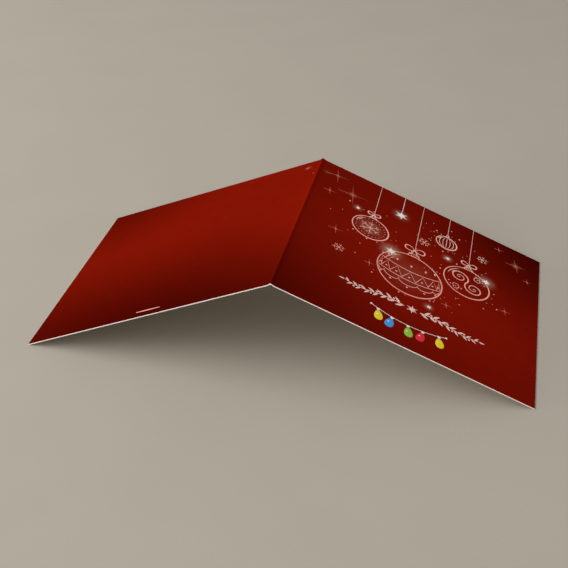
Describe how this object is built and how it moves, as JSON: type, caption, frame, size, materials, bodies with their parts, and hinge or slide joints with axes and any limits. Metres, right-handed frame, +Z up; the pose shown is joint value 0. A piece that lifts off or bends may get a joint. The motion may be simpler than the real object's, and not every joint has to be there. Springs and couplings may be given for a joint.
{
  "type": "greeting card",
  "caption": "Square folded greeting card of white board, red outside, creased across the middle and standing like a tent on its two fore edges.",
  "frame": {"origin": "on the surface that the card stands on, midway between its two fore edges and halfway along the fold", "axes": "+X towards the front cover's fore edge, +Y along the fold from the foot of the card to its head, +Z up"},
  "size_m": [0.2772, 0.15, 0.0584],
  "materials": {
    "printed_board": "satin",
    "rose_ink": "satin",
    "white_ink": "satin",
    "lamp_ink": "satin"
  },
  "bodies": {
    "root": {"folded_card": "printed_board"}
  },
  "joints": []
}
